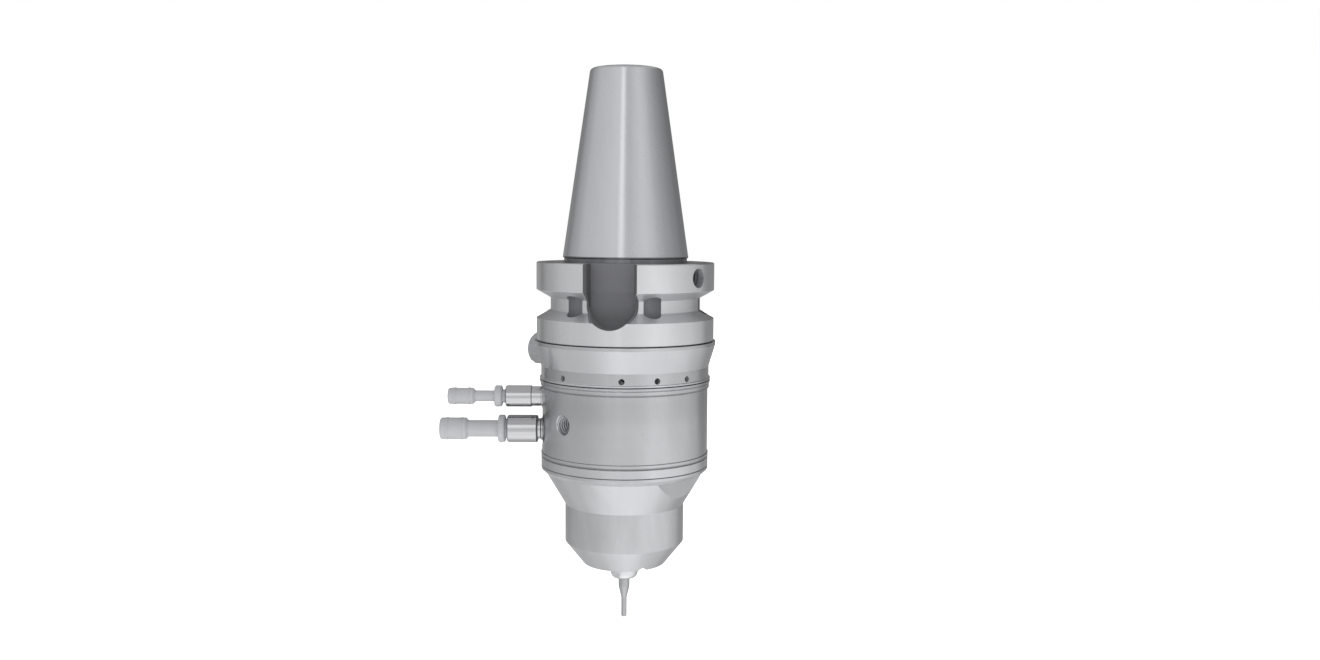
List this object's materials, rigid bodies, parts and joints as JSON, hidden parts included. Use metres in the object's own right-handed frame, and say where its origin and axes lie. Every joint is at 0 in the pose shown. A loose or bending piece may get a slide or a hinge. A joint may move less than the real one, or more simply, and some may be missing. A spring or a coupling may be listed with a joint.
{
  "type": "high-speed spindle",
  "caption": "Air-turbine milling spindle on a 40-taper shank, with vent ring, two plugged air fittings, a capped sensor port and a collet with a small cutter.",
  "frame": {"origin": "centre of the taper's gauge plane", "axes": "+Z along the spindle axis towards the small end of the taper, +X away from the air fittings, -Y towards the viewer of the picture"},
  "size_m": [0.0982, 0.0644, 0.1965],
  "materials": {
    "ground_steel": "fine ground",
    "polished_steel": "fine turned and polished",
    "dark_steel": "blued",
    "spring_steel": "bright",
    "carbide": "ground carbide",
    "aluminium": "machined",
    "bush_bronze": "bored",
    "nickel_brass": "nickel plated",
    "grey_plastic": "satin",
    "black_rubber": "smooth"
  },
  "bodies": {
    "housing": {"taper_shank": "ground_steel", "bore_plug": "dark_steel", "flange_screws": "dark_steel", "shank_seal": "black_rubber", "vent_ring": "polished_steel", "main_housing": "polished_steel", "front_housing": "polished_steel", "front_seal": "black_rubber", "nose_ring": "ground_steel", "nozzle_ring": "aluminium", "rear_bearing_body": "aluminium", "bearing_seals": "black_rubber", "rear_bush": "bush_bronze", "rear_thrust_plate": "bush_bronze", "thrust_spacer": "ground_steel", "front_thrust_plate": "bush_bronze", "front_bush": "bush_bronze", "front_bush_seals": "black_rubber", "drive_fitting_body": "nickel_brass", "drive_tube_seal": "black_rubber", "drive_grip_ring": "spring_steel", "bearing_fitting_body": "nickel_brass", "bearing_tube_seal": "black_rubber", "bearing_grip_ring": "spring_steel", "sensor_socket": "nickel_brass", "speed_sensor": "dark_steel"},
    "rotor": {"spindle_shaft": "ground_steel", "turbine_wheel": "aluminium", "turbine_nut": "dark_steel", "speed_target": "dark_steel"},
    "collet": {"collet": "ground_steel"},
    "collet_nut": {"collet_nut": "dark_steel"},
    "end_mill": {"end_mill": "carbide"},
    "drive_release_ring": {"drive_release_ring": "grey_plastic"},
    "drive_plug": {"drive_plug": "grey_plastic"},
    "bearing_release_ring": {"bearing_release_ring": "grey_plastic"},
    "bearing_plug": {"bearing_plug": "grey_plastic"},
    "cap_seal": {"cap_seal": "black_rubber"},
    "sensor_cap": {"sensor_cap": "grey_plastic"}
  },
  "joints": [
    {"name": "spindle_spin", "type": "hinge", "parent": "housing", "child": "rotor", "pos_m": [0, 0, -0.08], "axis": [0, 0, 1], "continuous": true},
    {"name": "collet_slide", "type": "slide", "parent": "rotor", "child": "collet", "axis": [0, 0, -1], "range_m": [0, 0.001]},
    {"name": "nut_turn", "type": "hinge", "parent": "collet", "child": "collet_nut", "pos_m": [0, 0, -0.111], "axis": [0, 0, -1], "range_deg": [0, 720]},
    {"name": "tool_slide", "type": "slide", "parent": "collet", "child": "end_mill", "axis": [0, 0, -1], "range_m": [0, 0.02]},
    {"name": "drive_release_press", "type": "slide", "parent": "housing", "child": "drive_release_ring", "axis": [1, 0, 0], "range_m": [0, 0.0007], "stiffness_N_per_m": 1000},
    {"name": "bearing_release_press", "type": "slide", "parent": "housing", "child": "bearing_release_ring", "axis": [1, 0, 0], "range_m": [0, 0.0011], "stiffness_N_per_m": 1000},
    {"name": "drive_plug_pull", "type": "slide", "parent": "housing", "child": "drive_plug", "axis": [-1, 0, 0], "range_m": [0, 0.02]},
    {"name": "bearing_plug_pull", "type": "slide", "parent": "housing", "child": "bearing_plug", "axis": [-1, 0, 0], "range_m": [0, 0.02]},
    {"name": "cap_lift", "type": "slide", "parent": "housing", "child": "cap_seal", "axis": [-0.809, 0.5878, 0], "range_m": [0, 0.0065]},
    {"name": "cap_turn", "type": "hinge", "parent": "cap_seal", "child": "sensor_cap", "pos_m": [-0.02832, 0.02057, -0.0352], "axis": [-0.809, 0.5878, 0], "range_deg": [0, 2340]}
  ],
  "couplings": [
    {"joint": "nut_turn", "follows": "collet_slide", "rad_per_m": 12566},
    {"joint": "cap_turn", "follows": "cap_lift", "rad_per_m": 6283.1}
  ]
}
